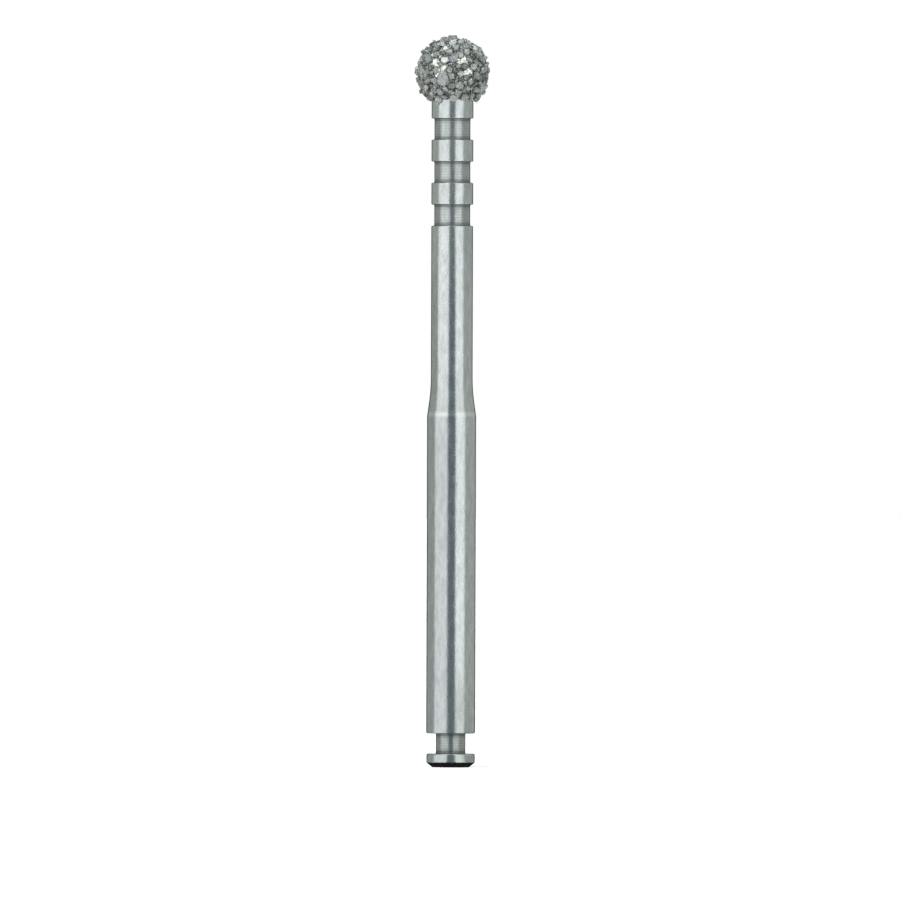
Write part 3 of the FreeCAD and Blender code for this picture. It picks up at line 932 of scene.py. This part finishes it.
def make_shadow_mat(name, radius, colour):
    """A flat round card just over the floor under the tail end: a painted shadow in reflections."""
    mesh = bpy.data.meshes.new(name)
    points = []
    for step in range(MAT_STEPS):
        angle = math.tau * step / MAT_STEPS
        across, along = math.cos(angle) * radius, math.sin(angle) * radius
        points.append((across * MM, along * MM, MAT_LIFT * MM))
    mesh.from_pydata(points, [], [tuple(range(MAT_STEPS))])
    show_in_mirrors(link(mesh, name), colour)


def show_in_mirrors(card, colour, strength=1):
    """A card that shows only in metal and glass."""
    card.data.materials.append(card_material(card.name, colour, strength))
    card.visible_camera = False
    card.visible_diffuse = False
    card.visible_shadow = False


def make_lamp(name, turn, rise, softness, strength):
    """A broad, even light that puts no bright spot in the metal, from an angle in degrees."""
    data = bpy.data.lights.new(name, "SUN")
    data.angle = math.radians(softness)
    data.energy = strength
    lamp = link(data, name)
    lamp.rotation_euler = direction_of(turn, rise).to_track_quat("Z", "Y").to_euler()
    lamp.visible_glossy = False


def make_world():
    """A white backdrop for what the camera, metal and glass show, and softer light for the rest."""
    world = bpy.data.worlds.new("studio")
    bpy.context.scene.world = world
    world.use_nodes = True
    studio = Nodes(world.node_tree)
    mix = studio.node("ShaderNodeMixShader")
    studio.join(studio.seen(), mix.inputs["Fac"])
    glows = [(linear(246, 250, 255), WORLD_LIGHT), (grey(1), 1)]
    for socket, (colour, strength) in zip(mix.inputs[1:], glows):
        glow = studio.node("ShaderNodeBackground")
        glow.inputs["Color"].default_value = colour
        glow.inputs["Strength"].default_value = strength
        studio.join(glow.outputs["Background"], socket)
    output = studio.node("ShaderNodeOutputWorld")
    studio.join(mix.outputs["Shader"], output.inputs["Surface"])


make_camera()
make_world()
make_floor()
make_card("front_flag", -17, 19, linear(111, 120, 125), high=CARD_SPLIT)
make_card("upper_front_flag", -16, 16, linear(124, 133, 136), low=CARD_SPLIT)
make_card("left_pale", -80, -17, linear(243, 244, 247), high=SHANK_TOP)
make_card("left_grey", -140, -80, linear(165, 167, 163), high=CARD_SPLIT)
make_card("upper_left_grey", -140, -76, linear(176, 179, 175), low=CARD_SPLIT)
make_card("low_right_pale", 19, 63, linear(241, 242, 237), high=LOW_PALE_TOP)
make_card("low_right_grey", 63, 140, linear(160, 162, 158), high=LOW_GREY_TOP)
make_card("right_grey", 63, 140, linear(179, 181, 177), low=LOW_GREY_TOP, high=CARD_SPLIT)
make_card("upper_right_grey", 60, 140, linear(175, 178, 174), low=CARD_SPLIT)
make_card("left_edge_flag", -174, -140, linear(92, 96, 94))
make_card("right_edge_flag", 140, 174, linear(92, 96, 94))
make_card("left_softbox", -62, -22, grey(1), low=44, high=56, strength=2.6)
make_card("right_softbox", 24, 52, grey(1), low=42, high=52, strength=2)
# A painted shadow: the floor under the tail end, dark as its contact shadow, in reflections only.
make_shadow_mat("painted_shadow_mat", SHADOW_MAT_RADIUS, linear(30, 30, 30))
make_lamp("key_lamp", -30, 58, 30, KEY_LIGHT)
make_lamp("fill_lamp", 60, 35, 30, FILL_LIGHT)

bpy.context.scene.view_settings.view_transform = "Standard"

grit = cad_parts["diamond_grit"]
diamond, edge = diamond_material(), edge_material()
make_steel()
tree = grit_tree(grit)
make_nickel(tree)
make_fines(tree, diamond, edge)
dress_grit(grit, diamond, edge, 2)
